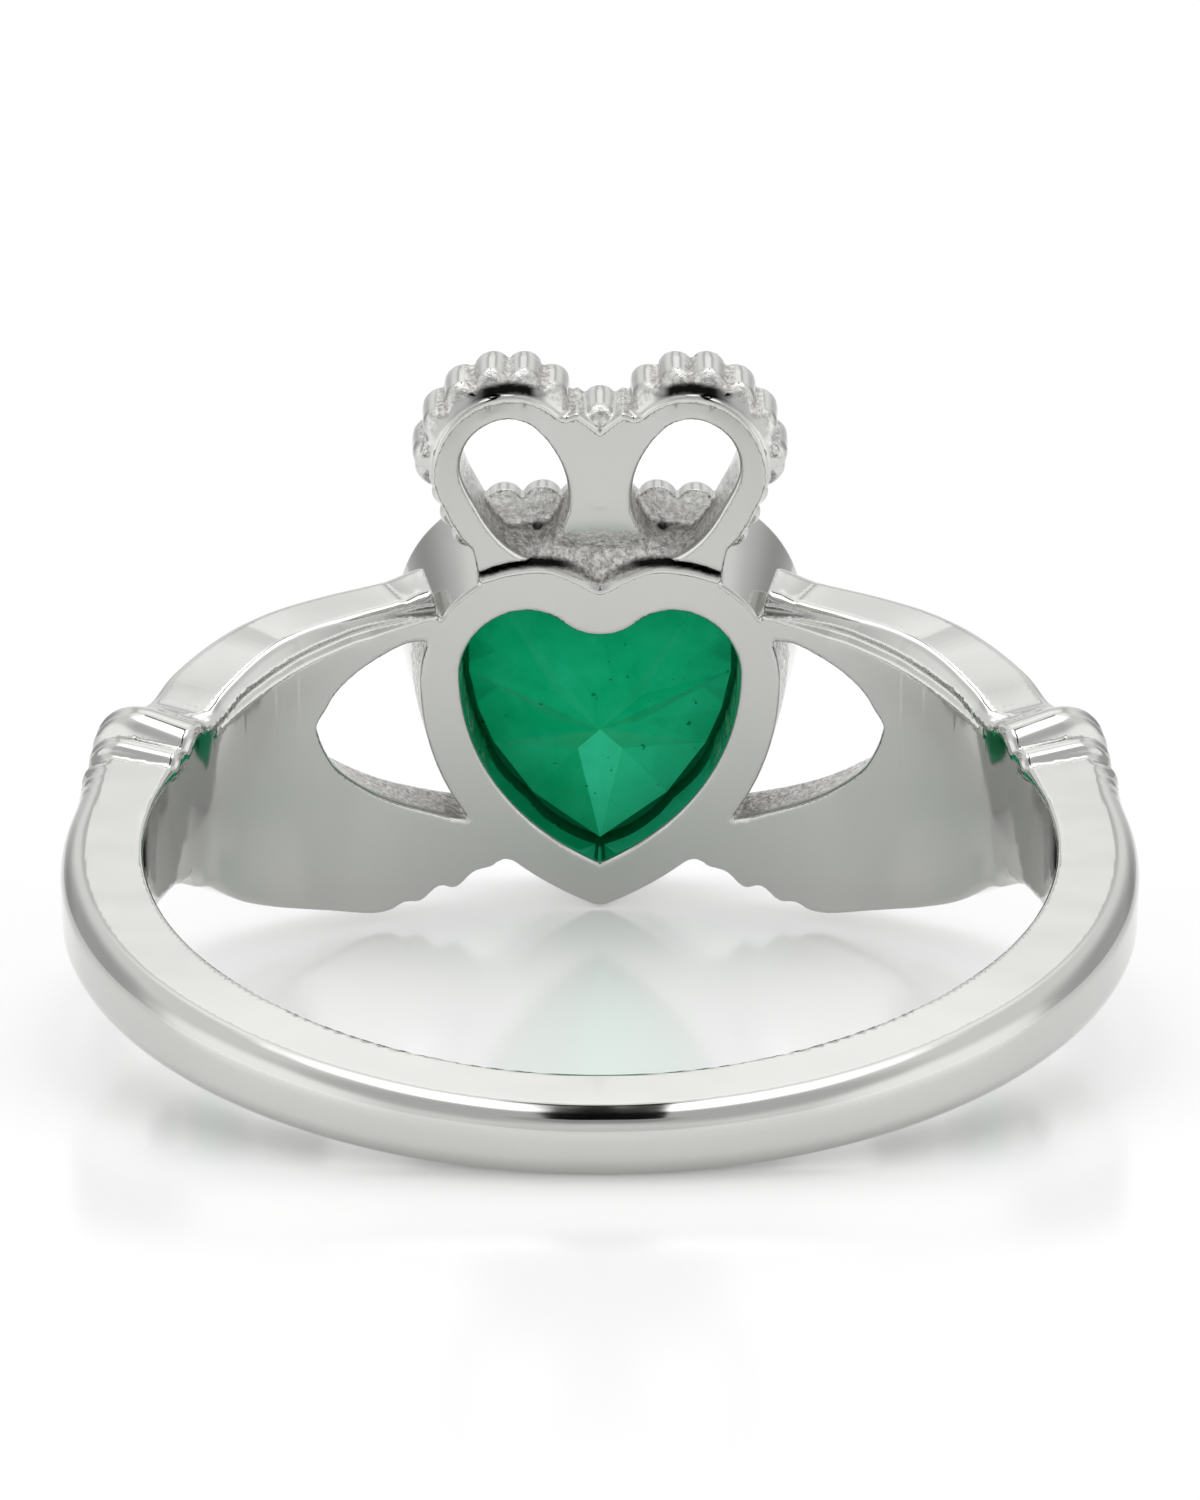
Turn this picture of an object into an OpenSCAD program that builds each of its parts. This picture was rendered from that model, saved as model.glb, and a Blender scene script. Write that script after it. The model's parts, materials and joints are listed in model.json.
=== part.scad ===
// Claddagh ring: a cast band whose two hands hold a bezel-set heart stone under a crown.
// Every shape is built about the finger axis (local Z), with the head towards local +Y.
// The whole ring is then tipped on to its side, resting on the heart's tip and the back of the band.

/* [Finger] */
// Inside diameter of the band
bore_d = 17.3; // [15:0.1:20]

/* [Band] */
// Height of the band, along the finger, at the back
back_h = 1.36; // [1:0.02:2.2]
// Thickness of the band at the back
back_t = 1.53; // [1.1:0.01:2.2]
// Thickness of the band at the cuffs
side_t = 1.58; // [1.1:0.01:2.2]
// Height of the band's upper edge at the cuffs, over the middle plane
side_up = 0.84; // [0.6:0.02:1.3]
// Depth of the band's lower edge at the cuffs, under the middle plane
side_down = 1.75; // [0.8:0.05:2.4]
// Radial depth of the rounding of the band's outer edges
edge_r = 0.52; // [0.3:0.01:0.8]

/* [Cuffs] */
// Angle from the head's middle to the middle of the rolled cuff
cuff_a = 65; // [60:0.5:70]
// Width of the rolled cuff, round the finger
roll_w = 1.15; // [0.8:0.05:1.6]
// Width of the flat rib behind the roll
rib_w = 0.8; // [0.5:0.05:1.2]
// Height that the roll stands proud of the band
roll_up = 0.45; // [0.2:0.05:0.8]
// Height that the rib stands proud of the band
rib_up = 0.26; // [0.1:0.02:0.6]

/* [Hands] */
// Height of the thumb's upper edge over the middle plane
thumb_up = 1.65; // [1.2:0.05:2.2]
// Height of the slim part of the thumb
thumb_h = 0.6; // [0.4:0.02:1.2]
// Height of the lowest knuckle over the tip of the heart's back plate
knuckle_up = 0.54; // [0.3:0.02:1.4]
// Thickness of the thumb and palm
hand_t = 1.65; // [1.2:0.05:2.2]
// Depth of the furrows between the fingers
finger_relief = 0.35; // [0.15:0.05:0.6]
// Distance that the thumb stands back from the finger hole
thumb_back = 0.12; // [0.06:0.02:0.3]

/* [Heart] */
// Width of the heart-cut stone
stone_w = 7.1; // [5.5:0.1:8.5]
// Height of the heart-cut stone
stone_h = 7.38; // [5.5:0.1:8.5]
// Height of the stone above its girdle
stone_up = 1.05; // [0.7:0.05:1.6]
// Depth of the stone below its girdle
stone_down = 1.7; // [1.2:0.05:1.9]
// Thickness of the stone's girdle
girdle_t = 0.12; // [0.06:0.02:0.16]
// Height of the heart's widest line over the middle plane
heart_z = 0.1; // [-1:0.05:1]
// Depth of the heart's setting, from the finger to its front rim
head_t = 3; // [2.7:0.05:4]
// Height of the front rim over the stone's girdle
rim_over = 0.95; // [0.5:0.05:1.2]
// Rounding of the front rim
rim_round = 0.25; // [0.1:0.05:0.4]
// Width of the seat that the stone rests on
seat_w = 0.7; // [0.4:0.05:1]
// Metal outside the stone's outline at the back plate
plate_w = 0.25; // [0.2:0.05:0.6]
// Metal outside the stone's outline at the front rim
rim_w = 0.72; // [0.5:0.02:1.2]
// Overlap of the rim on the stone
lip_w = 0.25; // [0.1:0.05:0.5]
// Gap all round the stone
stone_gap = 0.06; // [0.04:0.01:0.1]

/* [Crown] */
// Distance between the middles of the two loops
loops_x = 3.86; // [3:0.02:4.6]
// Height of the loops' middles over the heart's back plate
loops_up = 2.45; // [2.2:0.05:3]
// Outer radius of a loop at the back
loop_r = 1.45; // [1.3:0.05:1.8]
// Radius of the hole in a loop
hole_r = 0.97; // [0.7:0.01:1.1]
// Radius of the small flutes round the crown
flute_r = 0.38; // [0.25:0.01:0.45]
// Thickness of the crown
crown_t = 1.45; // [1.2:0.05:2]
// Thickness of the plain plate at the crown's back
crown_back_t = 0.3; // [0.2:0.05:0.5]
// Thickness of the band of beads along the crown's foot
foot_t = 0.4; // [0.3:0.05:0.6]
// Distance that the beads stand proud of the crown
bead_up = 0.12; // [0.06:0.02:0.3]

/* [Hidden] */
bore_r = bore_d / 2;
back_r = bore_r + back_t;
side_r = bore_r + side_t;
wall_gap = 0.03;
buried = 0.35;
wall_r = bore_r + wall_gap;    // faceted walls stand this far back from the true bore
buried_r = bore_r + buried;    // ends of solids that run inside another one

// Shares of the stone's size that give the heart its outline
lobe_share = 0.276;
notch_share = 0.055;
lobe_r = stone_w * lobe_share;
lobe_x = stone_w / 2 - lobe_r;
tip_drop = stone_h - lobe_r;
flank_r = (pow(stone_w / 2, 2) + pow(tip_drop, 2)) / stone_w;
flank_x = flank_r - stone_w / 2;
function heart_tip(g) = heart_z - sqrt(pow(flank_r + g, 2) - pow(flank_x, 2));

// Shares of the stone's size that give its facets
table_inset = stone_w * 0.17;
keel_inset = stone_w * 0.2;
keel_drop = stone_down * 0.62;

// Depths along local Y. The seat meets the slope of the stone's underside.
rim_y = bore_r + head_t;
girdle_y = rim_y - rim_over;
seat_y = girdle_y - seat_w * keel_drop / keel_inset - stone_gap;

// Crown
loops_z = heart_z + lobe_r + plate_w + loops_up;
flute_at = loop_r + flute_r * 0.2;

// Hands. The fingertips end behind the stone's seat.
hand_down = -heart_tip(plate_w) - knuckle_up;
tip_t = seat_y - bore_r - 2 * stone_gap;
tip_a = asin(stone_w * 0.235 / bore_r);
thumb_a = asin((lobe_x + lobe_r * 0.62) / bore_r);

// Angles from the head's middle
roll_half = roll_w / side_r * 90 / PI;
wrist_a = cuff_a - roll_half;
rib_a = cuff_a + roll_half;
band_a = rib_a + rib_w / side_r * 180 / PI;
step_a = 0.05;               // shortest step between two sections

// A loop of [radius, height] pairs, turned to an angle round the finger
function turned(a, loop) = [for (p = loop) [p.x * sin(a), p.x * cos(a), p.y]];

// Section of the hoop with rounded outer corners, er across and ez up.
// Relief is the depth of the furrows between the four fingers.
corner_steps = 4;
finger_count = 4;
finger_steps = 4;
function furrow(t) = let (f = t * finger_count, s = 2 * (f - floor(f)) - 1)
    1 - sqrt(max(0, 1 - s * s));
function section(r0, r1, z0, z1, er, ez, relief = 0) =
    let (
        cr = min(er, (r1 - r0) * 0.9),
        cz = min(ez, (z1 - z0) * 0.47),
        side = finger_count * finger_steps,
        low = [for (i = [0:corner_steps]) let (a = 90 * i / corner_steps)
            [r1 - cr + cr * sin(a), z0 + cz - cz * cos(a)]],
        face = [for (i = [1:side - 1])
            [r1 - relief * furrow(i / side), z0 + cz + (z1 - z0 - 2 * cz) * i / side]],
        high = [for (i = [0:corner_steps]) let (a = 90 * i / corner_steps)
            [r1 - cr + cr * cos(a), z1 - cz + cz * sin(a)]]
    )
    concat([[r0, z0]], low, face, high, [[r0, z1]]);

// Solid through rings of equally many points
module loft(rings) {
    n = len(rings[0]);
    last = len(rings) - 1;
    sides = [for (i = [0:last - 1], j = [0:n - 1]) let (
        a = i * n + j, b = i * n + (j + 1) % n, c = a + n, d = b + n)
        each [[a, c, d], [a, d, b]]];
    polyhedron(
        points = [for (ring = rings) each ring],
        faces = concat([[for (j = [0:n - 1]) j]], sides, [[for (j = [n - 1:-1:0]) last * n + j]]),
        convexity = 6);
}

module both_sides() {
    children();
    mirror([1, 0, 0]) children();
}

// Palm and fingers, from the fingertips (along 0) to the wrist (1). Low and top are heights as
// shares of hand_down, out is a share of the hand's thickness, and split of finger_relief.
along = 0;
low = 1;
top = 2;
out = 3;
split = 4;
palm_rows = [
    [-0.01, -0.86, -0.70, 0.80, 0.2],
    [0.02, -0.89, -0.68, 0.84, 0.6],
    [0.06, -0.90, -0.66, 0.90, 1.0],
    [0.10, -0.95, -0.65, 0.94, 1.0],
    [0.15, -0.96, -0.63, 0.96, 1.0],
    [0.21, -0.95, -0.60, 0.97, 1.0],
    [0.24, -0.98, -0.57, 0.98, 1.0],
    [0.31, -0.985, -0.52, 1.00, 1.0],
    [0.37, -1.00, -0.46, 1.02, 1.0],
    [0.44, -0.985, -0.39, 1.03, 0.9],
    [0.50, -0.955, -0.30, 1.04, 0.8],
    [0.56, -0.92, -0.17, 1.05, 0.6],
    [0.59, -0.90, 0.00, 1.05, 0.5],
    [0.62, -0.88, 0.15, 1.05, 0.4],
    [0.70, -0.80, 0.21, 1.03, 0.2],
    [0.81, -0.70, 0.22, 1.00, 0],
    [0.92, -0.59, 0.20, 0.97, 0],
    [1.00, -0.48, 0.18, 0.94, 0]];
full_at = 0.3;               // the hand has its full thickness from here on
buried_at = 0.04;            // the fingertips lie inside the heart's wall up to here
palm_stations = [for (row = palm_rows) let (
    under = row[along] < buried_at ? buried_r : wall_r,
    thick = tip_t + (hand_t - tip_t) * min(1, max(0, row[along] / full_at)))
    [tip_a + (wrist_a - tip_a) * row[along], section(
        under, bore_r + thick * row[out],
        hand_down * row[low], hand_down * row[top],
        hand_t * 0.4, hand_t * 0.25, finger_relief * row[split])]];

// Cuff: a rolled bead, then a flatter rib
function bead(a0, a1, proud, steps) = [for (i = [0:steps]) let (
    s = 2 * i / steps - 1,
    drop = min(proud, side_t / 4) * (1 - sqrt(1 - 0.96 * s * s)))
    [a0 + (a1 - a0) * i / steps, section(
        wall_r, side_r + proud - drop,
        -side_down - proud * 0.6 + drop, side_up + proud * 0.55 - drop, edge_r * 0.7, edge_r * 0.7)]];
cuff_stations = concat(
    bead(wrist_a + step_a, rib_a, roll_up, 6),
    bead(rib_a + step_a, band_a - step_a, rib_up, 4));

// Band, thinnest at the back, with its lower edge dropping to meet the hands
band_steps = 22;
function back_share(a) = (180 - a) / (180 - band_a);
function band_down(a) = back_h / 2 + (side_down - back_h / 2) * pow(back_share(a), 4);
function band_top(a) = back_h / 2 + (side_up - back_h / 2) * min(1, 2 * back_share(a));
function band_out(a) = back_r + (side_r - back_r) * back_share(a);
function band_section(a) =
    section(wall_r, band_out(a), -band_down(a), band_top(a), edge_r, back_h * 0.42);
band_stations = [for (i = [0:band_steps]) let (a = band_a + (180 - band_a) * i / band_steps)
    [a, band_section(a)]];

// Band, cuffs, palms and fingers in one sweep round the finger
module hoop() {
    half = concat(palm_stations, cuff_stations, band_stations);
    n = len(half);
    loft(concat(
        [for (s = half) turned(s[0], s[1])],
        [for (i = [n - 2:-1:0]) turned(360 - half[i][0], half[i][1])]));
}

// True bore surface, over the stretch where the hoop is whole
module bore_wall() {
    reach = 180 - (tip_a + (wrist_a - tip_a) * 0.62);
    half_h = min(back_h / 2, side_up, side_down) * 0.9;
    rotate([0, 0, -90 - reach])
        rotate_extrude(angle = 2 * reach, $fn = 96)
            translate([bore_r, -half_h])
                square([back_t / 2, 2 * half_h]);
}

// Thumb, from the crown's foot (0) to the wrist (1). High is the section's height as a
// share of thumb_h, and top a share of thumb_up.
high = 1;
thumb_rows = [
    [0.00, 1.35, 1.06, 0.80],
    [0.05, 1.35, 1.07, 0.92],
    [0.12, 1.20, 1.01, 0.96],
    [0.20, 1.15, 0.99, 0.97],
    [0.35, 1.10, 0.99, 0.98],
    [0.43, 1.30, 0.99, 1.00],
    [0.48, 1.75, 0.99, 1.02],
    [0.515, 2.30, 0.99, 1.03],
    [0.66, 2.40, 0.96, 1.04],
    [0.82, 2.30, 0.86, 1.02],
    [0.93, 2.00, 0.73, 0.98],
    [1.05, 1.80, 0.58, 0.92]];

module thumb() {
    loft([for (row = thumb_rows) let (
        level = heart_z * (1 - row[along]) + thumb_up * row[top])
        turned(thumb_a + (wrist_a - thumb_a) * row[along], section(
            bore_r + thumb_back, bore_r + hand_t * row[out],
            level - thumb_h * row[high], level,
            hand_t * 0.35, thumb_h * 0.45))]);
}

// Heart outline, grown by g from the stone's own, at depth y
heart_steps = 7;
function heart(g, y) =
    let (
        r = lobe_r + g,
        notch_r = max(stone_w * notch_share, stone_w * notch_share - g),
        notch_up = sqrt(pow(r + notch_r, 2) - pow(lobe_x, 2)),
        meet = atan2(notch_up, lobe_x),
        tip_half = acos(flank_x / (flank_r + g)),
        notch = [for (i = [1:heart_steps - 3]) let (a = (90 - meet) * i / (heart_steps - 3))
            [notch_r * sin(a), notch_up - notch_r * cos(a)]],
        lobe = [for (i = [1:2 * heart_steps]) let (a = (180 - meet) * (1 - i / (2 * heart_steps)))
            [lobe_x + r * cos(a), r * sin(a)]],
        flank = [for (i = [1:heart_steps - 1]) let (a = tip_half * i / heart_steps)
            [(flank_r + g) * cos(a) - flank_x, -(flank_r + g) * sin(a)]],
        top = [[0, notch_up - notch_r]],
        tip = [[0, heart_tip(g) - heart_z]],
        half = concat(notch, lobe, flank),
        n = len(half)
    )
    [for (p = concat(top, half, tip, [for (i = [n - 1:-1:0]) [-half[i].x, half[i].y]]))
        [p.x, y, heart_z + p.y]];

module setting() {
    back_y = bore_r * 0.85;
    flare = (rim_w - plate_w) / head_t;
    loft([
        heart(plate_w - flare * (bore_r - back_y), back_y),
        heart(rim_w, rim_y - rim_round),
        heart(rim_w - rim_round * 0.29, rim_y - rim_round * 0.29),
        heart(rim_w - rim_round, rim_y)]);
}

module stone_cavity() {
    past = 1;
    loft([
        heart(stone_gap, seat_y),
        heart(stone_gap, girdle_y + girdle_t),
        heart(stone_gap - lip_w, rim_y),
        heart(stone_gap - lip_w, rim_y + past)]);
    loft([
        heart(-seat_w, bore_r - past),
        heart(-seat_w, seat_y + buried)]);
}

// Shell between two radii round the finger, over the crown's height
past_head = 2;               // cutters and blanks run this far past the head
module shell(r0, r1) {
    difference() {
        translate([0, 0, heart_z]) cylinder(r = r1, h = loops_z + 3 * loop_r, $fn = 96);
        translate([0, 0, heart_z - past_head])
            cylinder(r = r0, h = loops_z + 3 * loop_r + 2 * past_head, $fn = 96);
    }
}

// A round bar through the head, along local Y
module bar(x, z, r) {
    translate([x, 0, z]) rotate([-90, 0, 0]) cylinder(r = r, h = rim_y + past_head, $fn = 32);
}

// Plate across the crown. Each row runs down from the loops to the heart, with its distance
// from the loop's middle as shares of loop_r, outwards and down.
web_rows = [
    [0.92, 0.41],
    [0.83, 0.78],
    [0.72, 1.10],
    [0.51, 1.38],
    [0.36, 2.00]];
module crown_web() {
    mid = loops_x / 2;
    side = [for (row = web_rows) [mid + loop_r * row.x, loops_z - loop_r * row.y]];
    rise = loop_r * 0.85;
    half = concat([[loops_x * 0.12, loops_z + rise], [mid, loops_z]], side);
    rotate([90, 0, 0]) mirror([0, 0, 1]) linear_extrude(height = rim_y + past_head)
        polygon(concat(
            [[0, loops_z + loop_r * 0.45]], half,
            [for (i = [len(half) - 1:-1:0]) [-half[i].x, half[i].y]]));
}

// Hole in a loop, with its foot narrowing to the heart's notch
module loop_hole(foot) {
    stem = loops_x * 0.17;
    bar(loops_x / 2 - hole_r * 0.1, loops_z, hole_r);
    rotate([90, 0, 0]) mirror([0, 0, 1]) linear_extrude(height = rim_y + past_head)
        polygon([
            [loops_x / 2 - hole_r * 1.07, loops_z], [loops_x / 2 + hole_r * 0.87, loops_z],
            [loops_x / 2 + hole_r * 0.8, loops_z - hole_r * 0.75],
            [loops_x / 2 + hole_r * 0.35, foot + 0.45],
            [loops_x / 2 - hole_r * 0.3, foot], [stem, foot], [stem, loops_z - hole_r * 0.6]]);
}

// Beads along the crown's foot, and flutes round the loops
module crown_beads() {
    foot_z = heart_z + lobe_r + rim_w;
    count = 7;
    pitch = loops_x * 1.25 / count;
    for (i = [0:count - 1])
        bar(pitch * (i - (count - 1) / 2), foot_z + loops_up * 0.18, pitch * 0.54);
}

module flutes() {
    turn = flute_r / flute_at * 180 / PI * 1.62;
    first = 49;
    for (i = [0:6])
        let (a = first + turn * i)
            bar(-loops_x / 2 + flute_at * cos(a), loops_z + flute_at * sin(a), flute_r);
}

module crown() {
    foot = heart_z + lobe_r + plate_w + 0.35;
    difference() {
        intersection() {
            shell(bore_r - 1, bore_r + crown_t);
            union() {
                crown_web();
                both_sides() bar(loops_x / 2, loops_z, loop_r);
            }
        }
        both_sides() loop_hole(foot);
    }
    intersection() {
        shell(bore_r + crown_back_t, bore_r + crown_t);
        difference() {
            union() {
                both_sides() flutes();
                both_sides() bar(loops_x / 2, loops_z, flute_at);
                bar(0, loops_z + loop_r * 0.47, flute_r * 1.05);
            }
            both_sides() loop_hole(foot);
        }
    }
    intersection() {
        shell(bore_r + crown_t - foot_t, bore_r + crown_t + bead_up);
        crown_beads();
    }
}

module head() {
    difference() {
        union() {
            setting();
            crown();
        }
        translate([0, 0, -bore_d]) cylinder(d = bore_d, h = 2 * bore_d, $fn = 96);
        stone_cavity();
    }
}

// The ring rests on the tip of the heart's back plate and on the band's back lower edge
rest_tip = [0, bore_r, heart_tip(plate_w)];
back_loop = [for (p = band_section(180)) [0, -p.x, p.y]];
function height(p, a) = p.y * sin(a) + p.z * cos(a);
function lowest(points, a, i = 0, best = 0) = i == len(points) ? points[best]
    : lowest(points, a, i + 1, height(points[i], a) < height(points[best], a) ? i : best);
function tilt_to(p) = atan((p.z - rest_tip.z) / (rest_tip.y - p.y));
near_back = lowest(back_loop, tilt_to([0, -back_r, -back_h / 2]));
rest_back = lowest(back_loop, tilt_to(near_back));
rest_tilt = tilt_to(rest_back);
function depth(p) = p.y * cos(rest_tilt) - p.z * sin(rest_tilt);
back_most = min([for (p = back_loop) depth(p)]);
front_most = depth([0, rim_y - rim_round, heart_tip(rim_w)]);

module at_rest() {
    translate([0, -(back_most + front_most) / 2, -height(rest_tip, rest_tilt)])
        rotate([rest_tilt, 0, 0])
            children();
}

module ring_body() {
    color("silver")
        at_rest()
            union() {
                hoop();
                bore_wall();
                both_sides() thumb();
                head();
            }
}

// Facets between two rings of equally many points that are half a step apart
facet_count = 20;
function ring_of(outline, start, n) = [for (i = [0:n - 1])
    let (m = len(outline), s = (i + start) * m / n, k = floor(s), f = s - k)
        outline[k % m] * (1 - f) + outline[(k + 1) % m] * f];

module heart_stone() {
    rings = [
        ring_of(heart(-keel_inset, girdle_y - keel_drop), 0.5, facet_count),
        ring_of(heart(0, girdle_y), 0, facet_count),
        ring_of(heart(0, girdle_y + girdle_t), 0, facet_count),
        ring_of(heart(-table_inset, girdle_y + stone_up), 0.5, facet_count)];
    keel = [0, girdle_y - stone_down, heart_z - stone_h * 0.3];
    top = 3 * facet_count;
    last = 4 * facet_count;
    color("seagreen")
        at_rest()
            polyhedron(
                points = concat([for (ring = rings) each ring], [keel]),
                faces = concat(
                    [for (j = [0:facet_count - 1]) [last, j, (j + 1) % facet_count]],
                    [for (k = [0:2], j = [0:facet_count - 1]) let (
                        a = k * facet_count + j, b = k * facet_count + (j + 1) % facet_count)
                        each [[a, a + facet_count, b], [b, a + facet_count, b + facet_count]]],
                    [[for (j = [facet_count - 1:-1:0]) top + j]]),
                convexity = 4);
}

ring_body();
heart_stone();
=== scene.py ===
import json
import math
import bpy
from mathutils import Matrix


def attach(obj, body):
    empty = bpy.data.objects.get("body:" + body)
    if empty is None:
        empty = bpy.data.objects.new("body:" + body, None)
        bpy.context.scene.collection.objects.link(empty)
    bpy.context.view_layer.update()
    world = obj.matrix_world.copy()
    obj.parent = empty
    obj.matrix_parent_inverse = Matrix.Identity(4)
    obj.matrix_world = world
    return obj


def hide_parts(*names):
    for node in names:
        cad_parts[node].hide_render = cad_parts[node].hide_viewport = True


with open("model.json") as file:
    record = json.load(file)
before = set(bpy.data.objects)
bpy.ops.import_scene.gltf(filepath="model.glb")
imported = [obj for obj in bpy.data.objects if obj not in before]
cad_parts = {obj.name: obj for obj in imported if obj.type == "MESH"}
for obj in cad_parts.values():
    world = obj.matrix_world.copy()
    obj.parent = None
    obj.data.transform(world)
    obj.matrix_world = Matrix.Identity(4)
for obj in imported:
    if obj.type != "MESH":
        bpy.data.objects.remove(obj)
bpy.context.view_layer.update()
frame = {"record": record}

from types import SimpleNamespace

import bmesh
import bpy
import numpy as np
from mathutils import Matrix, Vector

mm = 0.001

# The ring's own frame, in mm: x across, y towards the heart, z along the finger
finger = next(m for m in frame["record"]["mounts"] if m["name"] == "finger_bore")
boreR = finger["dims"]["r_mm"]
ringMiddle = np.array(finger["pos_m"])
fingerWay = np.array(finger["axis"]) / np.linalg.norm(finger["axis"])
headWay = np.cross(fingerWay, (1, 0, 0))
ringAxes = np.array([(1, 0, 0), headWay, fingerWay])
headY = 6  # the heart and the crown lie beyond it
headFrom = boreR * 0.7  # where their forms end towards the finger, inside the bore


def toRow(points):
    return ringMiddle + mm * (np.asarray(points, float) @ ringAxes)


def linearRgb(hexText):
    raw = [int(hexText[i:i + 2], 16) / 255 for i in (1, 3, 5)]
    return [c / 12.92 if c <= 0.04045 else ((c + 0.055) / 1.055) ** 2.4 for c in raw] + [1.0]


# Solid shapes are signed distances in mm, below zero inside the metal

def meet(a, b, r):  # what both hold, its outer edge rounded by r
    return np.minimum(np.maximum(a, b), -r) + np.hypot(np.maximum(a + r, 0), np.maximum(b + r, 0))


def join(a, b, r):  # what either holds, with a fillet of r
    return np.maximum(np.minimum(a, b), r) - np.hypot(np.maximum(r - a, 0), np.maximum(r - b, 0))


def cut(a, b, r):
    return meet(a, -b, r)


def disc(u, v, cu, cv, r):
    return np.hypot(u - cu, v - cv) - r


def smoothPath(points, steps=4, closed=True):  # a Catmull-Rom curve through the points
    p = np.array(points, float)
    n = len(p)
    out = []
    for i in range(n if closed else n - 1):
        a, b, c, d = (p[(i + k) % n] if closed else p[min(max(i + k, 0), n - 1)] for k in (-1, 0, 1, 2))
        for s in range(steps):
            t = s / steps
            out.append(0.5 * (2 * b + (c - a) * t + (2 * a - 5 * b + 4 * c - d) * t * t
                              + (3 * b - a - 3 * c + d) * t ** 3))
    return np.array(out)


def insideOutline(u, v, outline):  # signed distance to a closed outline
    nearest = np.full(u.shape, 1e9)
    inside = np.zeros(u.shape, bool)
    for (ax, ay), (bx, by) in zip(outline, np.roll(outline, -1, axis=0)):
        ex, ey = bx - ax, by - ay
        wx, wy = u - ax, v - ay
        t = np.clip((wx * ex + wy * ey) / (ex * ex + ey * ey + 1e-12), 0, 1)
        nearest = np.minimum(nearest, (wx - ex * t) ** 2 + (wy - ey * t) ** 2)
        side = ex * wy > ey * wx
        above, below = v >= ay, v < by
        inside ^= (above & below & side) | (~above & ~below & ~side)
    return np.where(inside, -1, 1) * np.sqrt(nearest)


band = dict(backHalf=0.68, backOut=1.53, sideUp=0.84, sideDown=1.75, sideOut=1.58,
            cuffEnd=72.7, start=61.0, edge=0.5, boreEdge=([58, 64, 72, 78], [0.09, 0.2, 0.2, 0.09]))


def bandSection(q, share):  # 2-D distance to the hoop's section, share 0 at the back and 1 at the cuffs
    rise = np.minimum(1, 2 * share)
    top = band["backHalf"] + (band["sideUp"] - band["backHalf"]) * rise * rise * (3 - 2 * rise)
    low = band["backHalf"] + (band["sideDown"] - band["backHalf"]) * share ** 4
    out = boreR + band["backOut"] + (band["sideOut"] - band["backOut"]) * share
    flare = np.clip((cuff["flareFrom"] - q.a) / (cuff["flareFrom"] - cuff["flareTo"]), 0, 1)
    ribs = cuff["beadUp"] * np.cos((q.a - cuff["flareTo"]) * q.arc * 2 * math.pi / cuff["beadPitch"])
    out = out + flare * flare * (cuff["flareUp"] + ribs)
    d = meet(q.r - out, q.z - top, band["edge"])
    return meet(d, -low - q.z, band["edge"])


def bandForm(q):
    share = np.clip((180 - q.a) / (180 - band["cuffEnd"]), 0, 1)
    return np.maximum(bandSection(q, share), (band["start"] - q.a) * q.arc)


cuff = dict(rollAt=65.2, rollHalf=0.58, rollUp=0.47, rollPower=2.3,
            ribAt=69.9, ribHalf=0.3, ribUp=0.2, ribPower=3, sink=0.15, borePart=0.68, farEdge=76,
            flareFrom=83, flareTo=74, flareUp=0.24, beadPitch=0.42, beadUp=0.05)


def cuffForm(q):
    side = bandSection(q, np.ones_like(q.a))
    proud = np.interp(q.r, [boreR, boreR + 1.2], [cuff["borePart"], 1.0])
    over = np.maximum(side + cuff["sink"], 0)
    reach = cuff["rollUp"] * proud + cuff["sink"]
    along = np.abs(q.a - cuff["rollAt"]) * q.arc / cuff["rollHalf"]
    power = cuff["rollPower"]
    roll = ((over / reach) ** power + along ** power) ** (1 / power)
    roll = (roll - 1) * np.minimum(reach, cuff["rollHalf"])
    ribReach = cuff["ribUp"] * proud + cuff["sink"]
    ribAlong = np.abs(q.a - cuff["ribAt"]) * q.arc / cuff["ribHalf"]
    power = cuff["ribPower"]
    rib = ((over / ribReach) ** power + ribAlong ** power) ** (1 / power)
    rib = (rib - 1) * np.minimum(ribReach, cuff["ribHalf"])
    return join(roll, rib, 0.05)


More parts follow.
